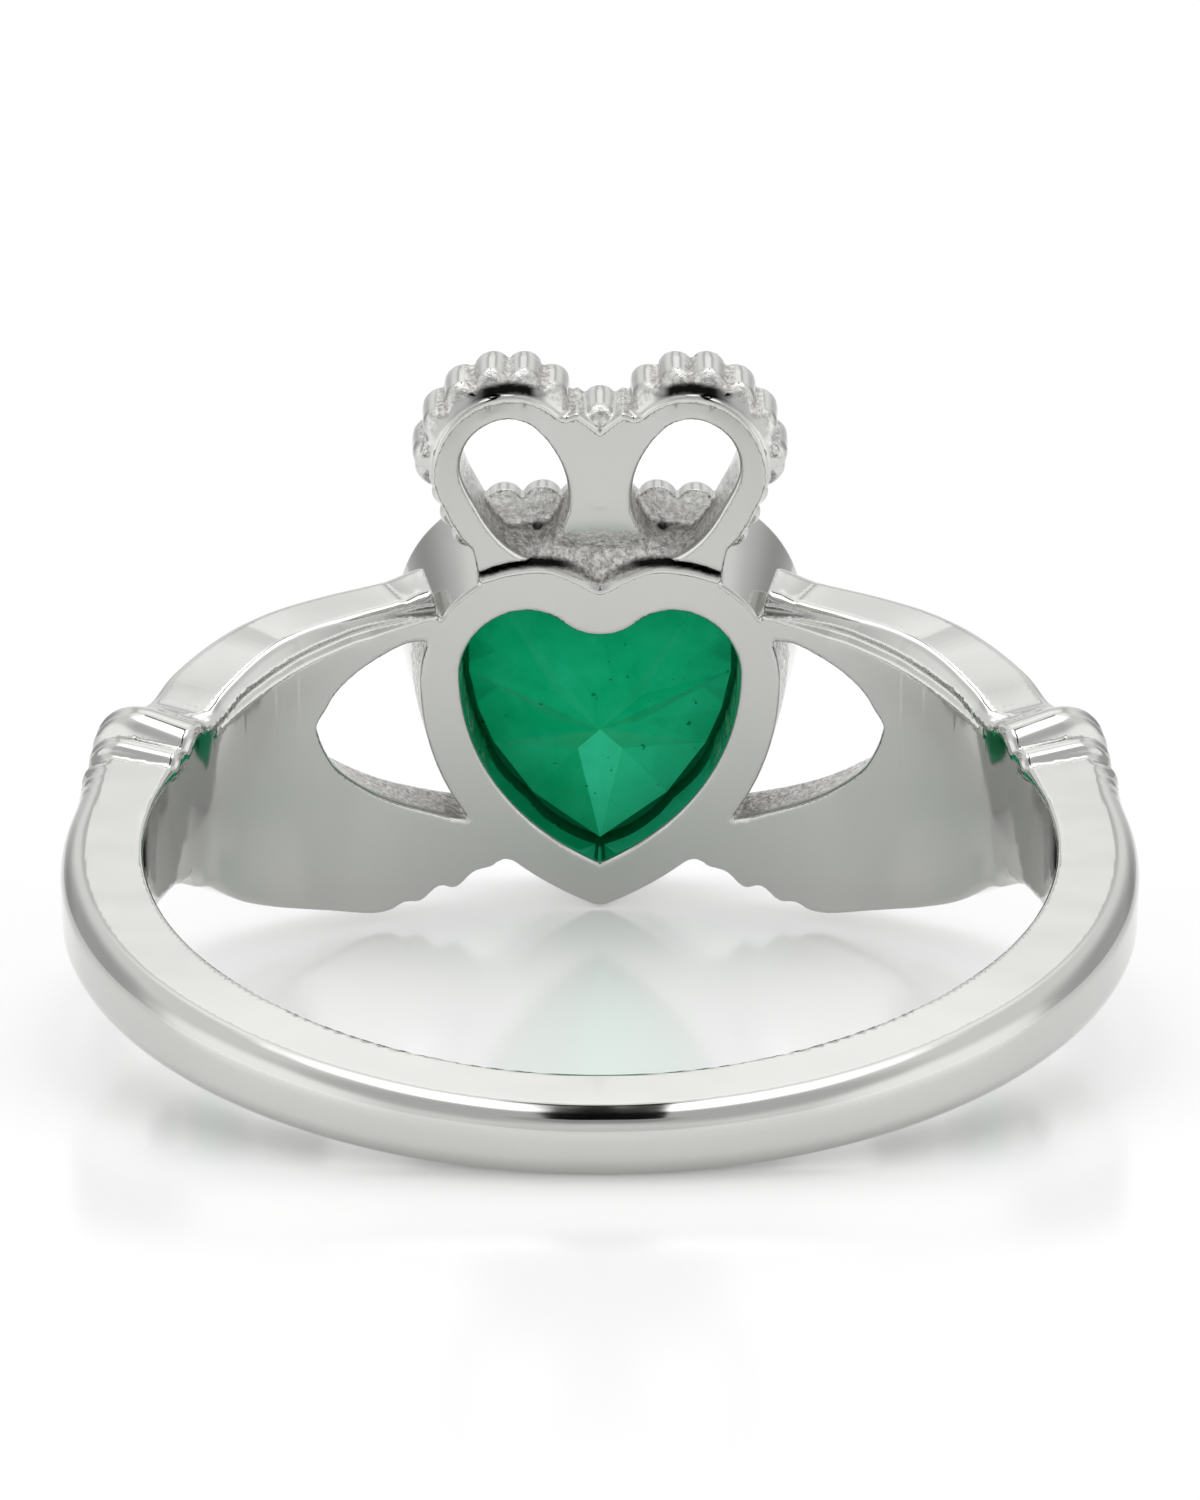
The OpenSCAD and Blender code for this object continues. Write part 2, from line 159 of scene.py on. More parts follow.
# Outlines of the hand laid flat round the finger: degrees from the head's middle, height in mm
hand = dict(
    flatR=9.4,
    thumbOut=([17, 24, 40, 56, 64], [1.4, 1.56, 1.66, 1.72, 1.6]),
    palmOut=([11, 16, 22, 31, 38, 48, 58, 64], [0.95, 1.3, 1.5, 1.66, 1.74, 1.7, 1.6, 1.5]),
    thumbEdge=0.3, palmEdge=0.34, relief=0.3, tipAt=21.0,
    thumb=[(64, 0.98), (60, 1.14), (57, 1.32), (53, 1.50), (49, 1.65), (45, 1.75), (40, 1.80), (34, 1.80),
           (28, 1.80), (25.2, 1.85), (23, 1.97), (21.5, 2.08), (20, 2.16), (17.5, 2.1), (16, 1.6),
           (16, 0.8), (22, 0.92), (26.3, 1.0), (28.6, 0.94), (31.9, 0.78), (34.8, 0.60), (37.9, 0.31),
           (40.1, -0.06), (44, -0.5), (52, -0.9), (64, -0.9)],
    palm=[(10, -3.45), (13, -3.40), (16, -3.36), (19.7, -3.22), (22.5, -3.02), (28.4, -2.56), (33, -2.08),
          (37.7, -1.40), (39.9, -0.83), (41.1, -0.3), (42.5, 0.3), (47, 0.75), (55, 0.95), (64, 0.85),
          (66, -0.6), (66.5, -2.14), (62.2, -2.62), (56.3, -3.33), (50.5, -3.85), (45.2, -4.24),
          (37.5, -4.74),
          (33.4, -4.98), (30.3, -5.05), (27.9, -4.95), (25.4, -5.0), (22.7, -4.75), (20.2, -4.85),
          (17.6, -4.55), (15.4, -4.5), (13.3, -4.35), (10, -4.3)],
    top=([12, 22.5, 28.4, 33, 37.7, 41, 48], [-3.3, -3.02, -2.56, -2.08, -1.4, -0.3, 0.3]),
    low=([12, 15.4, 22.7, 30.3, 37.5, 45.2, 56], [-4.3, -4.45, -4.8, -5.05, -4.74, -4.24, -3.4]),
    ridge=([17, 24, 29, 36, 43, 47, 51, 54, 58, 62],
           [1.75, 1.74, 1.76, 1.77, 1.71, 1.64, 1.55, 1.46, 1.3, 1.04]),
    crease=([17, 24, 29, 35, 38, 43, 48.5, 54, 59.5, 64],
            [1.58, 1.58, 1.56, 1.54, 1.50, 1.43, 1.3, 1.15, 0.93, 0.85]),
    gap=([21, 23, 27.2, 31.7, 33], [1.58, 1.60, 1.66, 1.69, 1.69]), gapR=([21, 24, 32], [0.085, 0.075, 0]),
    tipTop=([20, 26, 30], [1.77, 1.81, 2.1]), tipSlope=([20, 23, 26], [0.17, 0.09, 0]),
    endSlope=0.8, endBack=1.45, bevelFrom=63.5, gapFrom=31,
    creaseR=0.1, creaseSpan=(22, 62), creaseFade=(10, 8),
    furrowFade=([10, 14, 31, 44], [0.6, 1, 1, 0]), knuckles=[(33, 3.2, 0.14), (23, 2, 0.05)],
    ridgeBack=0.25, lean=-0.08, leanZ=-0.9, leanTo=43, leanFade=4)


def flatOutline(points):
    p = smoothPath(points)
    return np.stack([np.radians(p[:, 0]) * hand["flatR"], p[:, 1]], 1)


thumbOutline = flatOutline(hand["thumb"])
palmOutline = flatOutline(hand["palm"])


def handForm(q):
    s = np.radians(q.a) * hand["flatR"]
    back = q.r - boreR
    thumb = insideOutline(s, q.z, thumbOutline)
    thumb = meet(thumb, back - np.interp(q.a, *hand["thumbOut"]), hand["thumbEdge"])
    tip = q.z - np.interp(q.a, *hand["tipTop"]) - np.interp(q.a, *hand["tipSlope"]) * back
    thumb = meet(thumb, tip, 0.08)
    end = hand["tipAt"] + hand["endSlope"] * (hand["endBack"] - back)
    thumb = meet(thumb, (end - q.a) * q.arc, 0.06)
    ridge = np.interp(q.a, *hand["ridge"])
    crease = np.interp(q.a, *hand["crease"])
    slope = (ridge - crease) / hand["ridgeBack"]
    bevel = (q.z - crease - back * slope) / np.hypot(1, slope)
    thumb = np.where(q.a < hand["bevelFrom"], meet(thumb, bevel, 0.08), thumb)
    leaning = hand["lean"] * back * np.clip(q.z / hand["leanZ"], 0, 1)
    leaning = leaning * np.clip((hand["leanTo"] - q.a) / hand["leanFade"], 0, 1)
    palm = insideOutline(s, q.z + leaning, palmOutline)
    low, top = np.interp(q.a, *hand["low"]), np.interp(q.a, *hand["top"])
    part = np.clip((q.z - low) / (top - low), 0.001, 0.999) * 4
    furrow = 1 - np.sqrt(1 - (2 * (part - np.floor(part)) - 1) ** 2 * 0.98)
    fade = np.interp(q.a, *hand["furrowFade"])
    knuckle = sum(up * np.exp(-((q.a - at) / wide) ** 2) for at, wide, up in hand["knuckles"])
    out = np.interp(q.a, *hand["palmOut"]) + knuckle - hand["relief"] * furrow * fade
    palm = meet(palm, back - out, hand["palmEdge"])
    solid = join(thumb, palm, 0.12)
    (first, last), (fadeIn, fadeOut) = hand["creaseSpan"], hand["creaseFade"]
    deep = hand["creaseR"] * np.clip((q.a - first) / fadeIn, 0, 1) * np.clip((last - q.a) / fadeOut, 0, 1)
    groove = np.hypot(back * 0.8, q.z - crease + 0.04) - deep
    solid = np.where(deep > 0.01, cut(solid, groove, 0.05), solid)
    gap = np.hypot((back - 0.08) * 0.6, q.z - np.interp(q.a, *hand["gap"])) - np.interp(q.a, *hand["gapR"])
    return np.where(q.a < hand["gapFrom"], cut(solid, gap, 0.02), solid)


# The heart: two lobes, two flanks and a rounded notch. Every outline is offset from the stone's own
heart = dict(z=0.1, w=7.1, h=7.38, lobeShare=0.276, notchShare=0.055,
             hole=-0.7, plate=0.25, rim=0.72, rimY=boreR + 3.0, rimRound=0.28,
             seatY=boreR + 1.47, girdleY=boreR + 2.05, girdleT=0.12, lip=0.25, gap=0.06,
             groove=([0, 0.5, 1.0, 1.6, 2.2, 2.6, 3.2], [0.06, 0.08, 0.12, 0.17, 0.17, 0.10, 0.06]),
             grooveAt=0.41, grooveSlope=1.34, grooveLow=1.8)
heart["lobeR"] = heart["w"] * heart["lobeShare"]
heart["lobeX"] = heart["w"] / 2 - heart["lobeR"]
heart["flankR"] = ((heart["w"] / 2) ** 2 + (heart["h"] - heart["lobeR"]) ** 2) / heart["w"]
heart["flankX"] = heart["flankR"] - heart["w"] / 2


def heartForm(x, z, grow):
    z = z - heart["z"]
    lobe = np.hypot(x - heart["lobeX"], z) - heart["lobeR"]
    flank = np.hypot(x + heart["flankX"], z) - heart["flankR"]
    d = np.where(z > 0, lobe, flank) - grow
    r = heart["lobeR"] + grow
    notchR = np.maximum(heart["w"] * heart["notchShare"], heart["w"] * heart["notchShare"] - grow)
    notchZ = np.sqrt((r + notchR) ** 2 - heart["lobeX"] ** 2)
    inNotch = (z > 0) & ((heart["lobeX"] - x) * notchZ > heart["lobeX"] * z)
    return np.where(inNotch, notchR - np.hypot(x, z - notchZ), d)


def settingForm(q):
    flare = (heart["rim"] - heart["plate"]) / (heart["rimY"] - boreR)
    d = heartForm(q.x, q.z, heart["plate"] + flare * (q.y - boreR))
    d = meet(d, q.y - heart["rimY"], heart["rimRound"])
    return np.maximum(d, headFrom - q.y)


def stoneRoom(q):
    through = heartForm(q.x, q.z, heart["hole"])
    narrow = np.interp(q.y, [heart["girdleY"] + heart["girdleT"], heart["rimY"]], [0, heart["lip"]])
    seat = heartForm(q.x, q.z, heart["gap"] - narrow)
    return np.minimum(through, np.maximum(seat, heart["seatY"] - q.y))


crown = dict(
    loop=(1.9, 4.7), loopR=1.45, out=1.45, backT=0.1,
    fluteMid=(1.96, 4.77), valleyR=1.64, fluteAt=1.47, fluteR=0.37, fluteFirst=48.2, fluteTurn=25,
    flutes=6, barR=1.79, taper=0.06, taperBack=1.1, rimLow=4.25, ledgeSlope=0.75, ledgeWide=0.4,
    midBead=(0, 5.39), midBeadR=0.36,
    beadPitch=0.79, beadR=0.43, beadZ=3.2, beadOut=1.58, frontT=0.4,
    web=[(0, 5.33), (0.45, 5.7), (1.9, 5.2), (3.3, 4.55), (3.2, 4.1), (3.03, 3.57), (2.82, 3.16),
         (2.58, 2.84), (2.4, 1.9), (0, 1.5)],
    pocket=[(0, 1.70), (0.04, 1.72), (0.59, 2.03), (1.08, 2.29), (1.58, 2.58), (1.98, 2.96), (2.27, 3.37),
            (2.5, 3.83), (2.7, 4.27), (2.8, 4.66), (2.74, 5.05), (2.56, 5.35), (2.22, 5.57), (1.8, 5.63),
            (1.34, 5.47),
            (0.95, 5.1), (0.6, 4.6), (0.3, 3.9), (0, 3.6)],
    floorZ=2.88, floorTo=4.2, floorFade=1.2, wayZ=3.4,
    stem=[(1.6, 2.3), (2.2, 1.6), (2.6, 1.22), (3.0, 0.92), (3.4, 0.74), (3.7, 0.66), (4.15, 0.66),
          (4.6, 0.78),
          (5.06, 1.03), (5.3, 1.22), (5.46, 1.36), (5.58, 1.55), (5.7, 1.9)],
    stemFrom=3.45, stemLean=0.2, stemBend=0.3, footZ=3.6, footR=0.25,
    sideBumps=[(3.08, 4.12), (2.93, 3.62), (2.68, 3.14)], sideBumpR=0.31,
    pit=(1.28, 2.86, 0.93), pitR=0.09, stud=(3.49, 5.1, 0.24), studR=0.1)


def bothSides(half):  # the outline of a form that crosses the ring's middle, from its points at x >= 0
    return np.array(half + [(-x, z) for x, z in half[-2:0:-1]])


crownPocket = smoothPath(bothSides(crown["pocket"]), 3)
stemLine = smoothPath(crown["stem"], closed=False).T


def ballForm(x, z, back, spot, r):
    return np.sqrt((x - spot[0]) ** 2 + (z - spot[1]) ** 2 + (back - spot[2]) ** 2) - r


def crownForm(q):
    back = q.r - boreR
    shell = back - crown["out"]
    loop = disc(q.x, q.z, *crown["loop"], crown["loopR"])
    web = insideOutline(q.x, q.z, bothSides(crown["web"]))
    plate = join(loop, web, 0.12)
    cx, cz = crown["fluteMid"]
    rim = disc(q.x, q.z, cx, cz, crown["valleyR"])
    for i in range(crown["flutes"]):
        turn = math.radians(crown["fluteFirst"] + crown["fluteTurn"] * i)
        fx, fz = cx - crown["fluteAt"] * math.cos(turn), cz + crown["fluteAt"] * math.sin(turn)
        rim = join(rim, disc(q.x, q.z, fx, fz, crown["fluteR"]), 0.03)
    bar = meet(disc(q.x, q.z, cx, cz, crown["barR"]), q.z - cz, 0.1)
    rim = meet(join(rim, bar, 0.05), crown["rimLow"] - q.z, 0.4)
    rim = join(rim, disc(q.x, q.z, *crown["midBead"], crown["midBeadR"]), 0.03)
    rim = rim + crown["taper"] * np.clip(1 - back / crown["taperBack"], 0, 1)
    for x, z in crown["sideBumps"]:
        rim = join(rim, disc(q.x, q.z, x, z, crown["sideBumpR"]), 0.03)
    ledge = (crown["backT"] + crown["ledgeSlope"] * np.clip(plate, 0, crown["ledgeWide"]) - back) * 0.82
    rim = meet(meet(rim, shell, 0.12), ledge, 0.16)
    bead = np.full(q.x.shape, 1e9)
    for i in range(3):
        beadX = crown["beadPitch"] * (i + 0.5)
        bead = np.minimum(bead, disc(q.x, q.z, beadX, crown["beadZ"], crown["beadR"]))
    bead = meet(bead, back - crown["beadOut"], 0.12)
    bead = np.maximum(bead, crown["out"] - crown["frontT"] - back)
    solid = join(meet(plate, shell, 0.1), rim, 0.05)
    low = crown["stemFrom"] - q.z
    lean = np.where(low > 0, crown["stemLean"] * low + crown["stemBend"] * low ** 2, crown["stemLean"] * low)
    stem = meet(q.x - np.interp(q.z, *stemLine), (lean - back) * 0.7, 0.2)
    low = np.interp(q.x, *np.transpose(crown["pocket"][:7]))
    rise = np.maximum(crown["floorZ"] - low, 0) * np.clip(back, 0, crown["out"] - crown["frontT"])
    rise = rise * np.clip((crown["floorTo"] - q.z) / crown["floorFade"], 0, 1)
    pocket = insideOutline(q.x, q.z - rise, crownPocket)
    deep = join(back - crown["out"] + crown["frontT"], crown["wayZ"] - q.z, 0.04)
    pocket = meet(pocket, deep, 0.08)
    pocket = cut(pocket, stem, 0.07 + crown["footR"] * np.clip(crown["footZ"] - q.z, 0, 1))
    solid = cut(solid, pocket, 0.07)
    solid = join(solid, bead, 0.05)
    solid = cut(solid, ballForm(q.x, q.z, back, crown["pit"], crown["pitR"]), 0.02)
    solid = join(solid, ballForm(q.x, q.z, back, crown["stud"], crown["studR"]), 0.03)
    return np.maximum(solid, headFrom - q.y)


def grooveForm(q):  # over the heart's lobes, widest above each lobe's outer half
    edge = heartForm(q.x, q.z, 0.0) - heart["grooveAt"]
    floor = q.r - boreR - heart["grooveSlope"] * (edge + np.interp(q.x, *heart["groove"]))
    return meet(meet(floor * 0.6, edge, 0.01), heart["grooveLow"] - q.z, 0.03)


def ringForm(points):
    x, y, z = points.T
    x = np.abs(x)
    r = np.hypot(x, y)
    a = np.degrees(np.arctan2(x, y))
    q = SimpleNamespace(x=x, y=y, z=z, r=r, a=a, arc=np.radians(1) * r)
    d = bandForm(q)
    near = q.a < cuff["farEdge"]
    n = SimpleNamespace(**{k: v[near] for k, v in vars(q).items()})
    part = join(d[near], cuffForm(n), 0.09)
    part = join(part, handForm(n), 0.09)
    head = n.y > headY
    h = SimpleNamespace(**{k: v[head] for k, v in vars(n).items()})
    front = join(settingForm(h), crownForm(h), 0.06)
    front = join(part[head], front, 0.1)
    front = cut(front, grooveForm(h), 0.03)
    part[head] = cut(front, stoneRoom(h), 0.07)
    d[near] = part
    return meet(d, boreR - r, np.interp(a, *band["boreEdge"]))


def gradient(form, p, e=0.01):
    g = np.empty_like(p)
    for k in range(3):
        step = np.zeros(3)
        step[k] = e
        g[:, k] = (form(p + step) - form(p - step)) / (2 * e)
    return g


# Fine where the head is, coarser in the hands and round the plain band: (from, to, step) in mm. The mesh is
# then thinned to at most so many triangles
ringMesh = dict(xs=[(0, 8.7, 0.07), (8.7, 11.3, 0.11)],
                ys=[(-10.8, -8.2, 0.085), (-8.2, 3.0, 0.14), (3.0, 12.0, 0.074)],
                zs=[(-5.6, 1.3, 0.095), (1.3, 6.7, 0.07)], block=4, most=198000)


def gridLine(parts, block):
    line = np.concatenate([np.arange(a + s / 2, b, s) for a, b, s in parts])
    spare = -len(line) % block
    return np.concatenate([line, line[-1] + parts[-1][2] * np.arange(1, spare + 1)])


def thinned(points, faces, most):  # collapses the edges that matter least, down to so many triangles
    mesh = bpy.data.meshes.new("thinning")
    mesh.from_pydata(points.tolist(), [], faces.tolist())
    item = bpy.data.objects.new("thinning", mesh)
    bpy.context.scene.collection.objects.link(item)
    item.modifiers.new("thin", "DECIMATE").ratio = most / (2 * len(faces))
    done = item.evaluated_get(bpy.context.evaluated_depsgraph_get()).to_mesh()
    spots = np.array([v.co[:] for v in done.vertices])
    kept = [tuple(p.vertices) for p in done.polygons]
    bpy.data.objects.remove(item)
    bpy.data.meshes.remove(mesh)
    return spots, kept


def surfaceOf(form, xs, ys, zs, block, most):
    # Samples the distance only in blocks near the surface, on one half, and mirrors it
    lines = [gridLine(p, block) for p in (xs, ys, zs)]
    groups = [line.reshape(-1, block) for line in lines]
    middles = [g.mean(1) for g in groups]
    halves = [(g[:, -1] - g[:, 0]) / 2 * (block + 1) / (block - 1) for g in groups]
    coarse = form(np.stack(np.meshgrid(*middles, indexing="ij"), -1).reshape(-1, 3))
    coarse = coarse.reshape([len(m) for m in middles])
    across, along, up = (h ** 2 for h in halves)
    reach = np.sqrt(across[:, None, None] + along[None, :, None] + up[None, None])
    field = coarse.astype(np.float32)
    for k in range(3):
        field = np.repeat(field, block, axis=k)
    near = np.argwhere(np.abs(coarse) < reach * 1.25 + 0.03)
    offs = np.stack(np.meshgrid(*[np.arange(block)] * 3, indexing="ij"), -1).reshape(-1, 3)
    cells = (near[:, None] * block + offs[None]).reshape(-1, 3)
    field[tuple(cells.T)] = form(np.stack([lines[k][cells[:, k]] for k in range(3)], 1))
    field = np.concatenate([field[::-1], field])
    lines[0] = np.concatenate([-lines[0][::-1], lines[0]])
    inside = field < 0
    corners = [(i, j, k) for i in (0, 1) for j in (0, 1) for k in (0, 1)]
    size = [n - 1 for n in field.shape]
    total = sum(inside[c[0]:c[0] + size[0], c[1]:c[1] + size[1], c[2]:c[2] + size[2]].astype(np.int8)
                for c in corners)
    active = np.argwhere((total > 0) & (total < 8))
    number = np.full(size, -1)
    number[tuple(active.T)] = np.arange(len(active))
    values = [field[tuple((active + c).T)] for c in corners]
    places = [np.stack([lines[k][active[:, k] + c[k]] for k in range(3)], 1) for c in corners]
    spot, hits = np.zeros((len(active), 3)), np.zeros(len(active))
    for i, c in enumerate(corners):
        for j, other in enumerate(corners):
            if j > i and sum(abs(c[k] - other[k]) for k in range(3)) == 1:
                crosses = (values[i] < 0) != (values[j] < 0)
                t = np.where(crosses, values[i] / np.where(crosses, values[i] - values[j], 1), 0)[:, None]
                spot += (places[i] + t * (places[j] - places[i])) * crosses[:, None]
                hits += crosses
    points = spot / hits[:, None]
    faces = []
    for k in range(3):
        u, v = (k + 1) % 3, (k + 2) % 3
        here, there = [slice(None)] * 3, [slice(None)] * 3
        here[k], there[k] = slice(0, -1), slice(1, None)
        change = np.argwhere(inside[tuple(here)] != inside[tuple(there)])
        change = change[(change[:, u] > 0) & (change[:, v] > 0)]
        change = change[(change[:, u] < size[u]) & (change[:, v] < size[v])]
        du, dv = np.eye(3, dtype=int)[u], np.eye(3, dtype=int)[v]
        rounds = (change - du - dv, change - dv, change, change - du)
        quad = np.stack([number[tuple(cell.T)] for cell in rounds], 1)
        flip = ~inside[tuple(change.T)]
        quad[flip] = quad[flip][:, ::-1]
        faces.append(quad)
    for _ in range(3):
        g = gradient(form, points)
        move = form(points) / np.maximum((g * g).sum(1), 0.2)
        points = points - np.clip(move, -0.08, 0.08)[:, None] * g
    points, faces = thinned(points, np.concatenate(faces), most)
    normals = gradient(form, points, 0.035)
    normals /= np.maximum(np.linalg.norm(normals, axis=1), 1e-6)[:, None]
    return points, faces, normals


# Where the cast skin stays and where shade is painted in: (from, to) in mm, a in degrees round the finger
skinAndShadeSpans = dict(
    hollowZ=(1.7, 4.7), hollowBack=1.12, wallFacing=0.8, wallZ=2.9, wallRough=0.5,
    hollowX=([1.7, 2.0, 2.6, 3.0, 3.4, 3.9, 4.3, 4.7], [0.6, 0.8, 1.75, 2.15, 2.42, 2.65, 2.85, 2.95]),
    windowA=(15, 43), windowZ=(-3.6, 1.3), windowBack=1.3, windowFacing=0.6,
    valleyHalf=0.15, valleyZ=4.7, valleyBack=(0.3, 1.4), besideX=(0.33, 0.6), besideZ=5.0,
    endZ=4.9, endBack=0.5, midEndBack=0.4, endRough=0.35,
    soft=0.06, overEdge=(0.39, 0.49), overBack=(0.01, 0.5), overZ=1.85, tipA=(21.4, 30),
    rimOut=0.09, rimHalf=0.14, rimBack=(0.06, 0.4), rimX=1.85, rimZ=5.3, pitEdge=0.05)


def between(v, span):
    return (v > span[0]) & (v < span[1])


def castSkin(points, normals):
    # 1 where a polishing wheel can't reach: the crown's hollows, the openings' walls, the flutes' valleys
    x, y, z = np.abs(points[:, 0]), points[:, 1], points[:, 2]
    r = np.hypot(x, y)
    back, a = r - boreR, np.degrees(np.arctan2(x, y))
    head = y > headY
    facing = np.abs((normals[:, 0] * points[:, 0] + normals[:, 1] * points[:, 1]) / r)
    inside = np.clip((back - 0.08) / 0.08, 0, 1)
    hollow = head & between(z, skinAndShadeSpans["hollowZ"]) & (back < skinAndShadeSpans["hollowBack"])
    hollow = hollow & (x < np.interp(z, *skinAndShadeSpans["hollowX"]))
    wall = (facing > skinAndShadeSpans["wallFacing"]) & (z > skinAndShadeSpans["wallZ"])
    rough = hollow * np.where(wall, skinAndShadeSpans["wallRough"], 1.0)
    window = between(a, skinAndShadeSpans["windowA"]) & between(z, skinAndShadeSpans["windowZ"])
    window = window & (back < skinAndShadeSpans["windowBack"]) & (facing < skinAndShadeSpans["windowFacing"])
    cx, cz = crown["fluteMid"]
    away = np.hypot(x - cx, z - cz)
    turn = (np.degrees(np.arctan2(z - cz, cx - x)) - crown["fluteFirst"]) / crown["fluteTurn"]
    valley = (np.abs(turn % 1 - 0.5) < skinAndShadeSpans["valleyHalf"]) & between(turn, (-1, crown["flutes"] - 1))
    valley = valley & (z > skinAndShadeSpans["valleyZ"]) & (away > crown["valleyR"] - 0.1)
    beside = between(x, skinAndShadeSpans["besideX"]) & (z > skinAndShadeSpans["besideZ"])
    valley = (valley | beside) & head & between(back, skinAndShadeSpans["valleyBack"])
    end = (z > skinAndShadeSpans["endZ"]) & (away > crown["loopR"] + 0.1) & (back < skinAndShadeSpans["endBack"])
    midEnd = (x < skinAndShadeSpans["besideX"][0]) & (z > skinAndShadeSpans["besideZ"]) & (back < skinAndShadeSpans["midEndBack"])
    rough = np.maximum(rough, skinAndShadeSpans["endRough"] * (head & (end | midEnd)))
    return inside * np.maximum(rough, window | valley)


def groovePaintedShade(points):
    # 1 in the grooves where dark shade is painted: over the heart, under the thumb's tip and the flutes, in
    # the pit
    x, y, z = np.abs(points[:, 0]), points[:, 1], points[:, 2]
    back, a = np.hypot(x, y) - boreR, np.degrees(np.arctan2(x, y))

    def ramp(v):
        return np.clip(v / skinAndShadeSpans["soft"], 0, 1)

    def within(v, span):
        return ramp(v - span[0]) * ramp(span[1] - v)

    edge = heartForm(x, z, 0.0)
    low, high = skinAndShadeSpans["overEdge"]
    over = ramp(edge - low + np.interp(x, *heart["groove"])) * ramp(high - edge)
    over = over * within(back, skinAndShadeSpans["overBack"]) * ramp(z - skinAndShadeSpans["overZ"])
    over = over * np.interp(x, [0.2, 0.8], [0.4, 1])
    away = np.hypot((back - 0.08) * 0.6, z - np.interp(a, *hand["gap"]))
    first, last = skinAndShadeSpans["tipA"]
    under = ramp(np.interp(a, *hand["gapR"]) + 0.03 - away) * ramp((a - first) / 4) * ramp((last - a) / 10)
    loopOut = disc(x, z, *crown["loop"], crown["loopR"])
    rim = ramp(skinAndShadeSpans["rimHalf"] - np.abs(loopOut - skinAndShadeSpans["rimOut"])) * within(back, skinAndShadeSpans["rimBack"])
    rim = rim * np.clip((0.8 - np.abs(x - skinAndShadeSpans["rimX"])) / 0.35, 0, 1) * ramp(z - skinAndShadeSpans["rimZ"])
    pit = ramp(skinAndShadeSpans["pitEdge"] - ballForm(x, z, back, crown["pit"], crown["pitR"]))
    return np.maximum(np.maximum(over, under), np.maximum(rim, pit)) * (y > headY)


def meshPiece(name, points, faces, normals=None):
    mesh = bpy.data.meshes.new(name)
    mesh.from_pydata(toRow(points).tolist(), [], [list(map(int, f)) for f in faces])
    mesh.update()
    if normals is None:
        work = bmesh.new()
        work.from_mesh(mesh)
        bmesh.ops.recalc_face_normals(work, faces=work.faces)
        work.to_mesh(mesh)
        work.free()
    mesh.polygons.foreach_set("use_smooth", np.full(len(mesh.polygons), normals is not None))
    if normals is not None:
        mesh.normals_split_custom_set_from_vertices((normals @ ringAxes).tolist())
    piece = bpy.data.objects.new(name, mesh)
    bpy.context.scene.collection.objects.link(piece)
    return piece


def addValues(piece, name, place, values):
    piece.data.attributes.new(name, "FLOAT", place).data.foreach_set("value", values.astype(np.float32))


ringPoints, ringFaces, ringNormals = surfaceOf(ringForm, **ringMesh)
ringPiece = meshPiece("ringBody", ringPoints, ringFaces, ringNormals)
addValues(ringPiece, "castSkin", "POINT", castSkin(ringPoints, ringNormals))
# The grooves' painted shade: where the silver is painted near black as shade
addValues(ringPiece, "groovePaintedShade", "POINT", groovePaintedShade(ringPoints))
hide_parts("ring_body")
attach(ringPiece, "root")
print("ring body", len(ringPoints), "points", len(ringFaces), "faces")


def addNode(tree, kind, links=(), values=(), **settings):
    node = tree.nodes.new(kind)
    for name, setting in settings.items():
        setattr(node, name, setting)
    for socket, value in dict(values).items():
        node.inputs[socket].default_value = value
    for source, socket in links:
        tree.links.new(source, node.inputs[socket])
    return node


def emptyMaterial(name):
    material = bpy.data.materials.new(name)
    material.use_nodes = True
    material.node_tree.nodes.clear()
    return material, material.node_tree


# Sterling silver with a rhodium flash, cast and then buffed: a clear mirror with a slight ripple from
# polishing by hand, a fine satin grain where the wheel can't reach, and painted near-black shade in grooves
silverLook = dict(polished="#cfcfcc", castLow="#a9a7a2", castHigh="#fbfaf8", paintedShadeDark="#1c1b1a",
                  roughness=0.07, castRoughness=0.3, rippleMm=1.6, rippleUp=0.06, grainMm=0.11, grainUp=0.9)


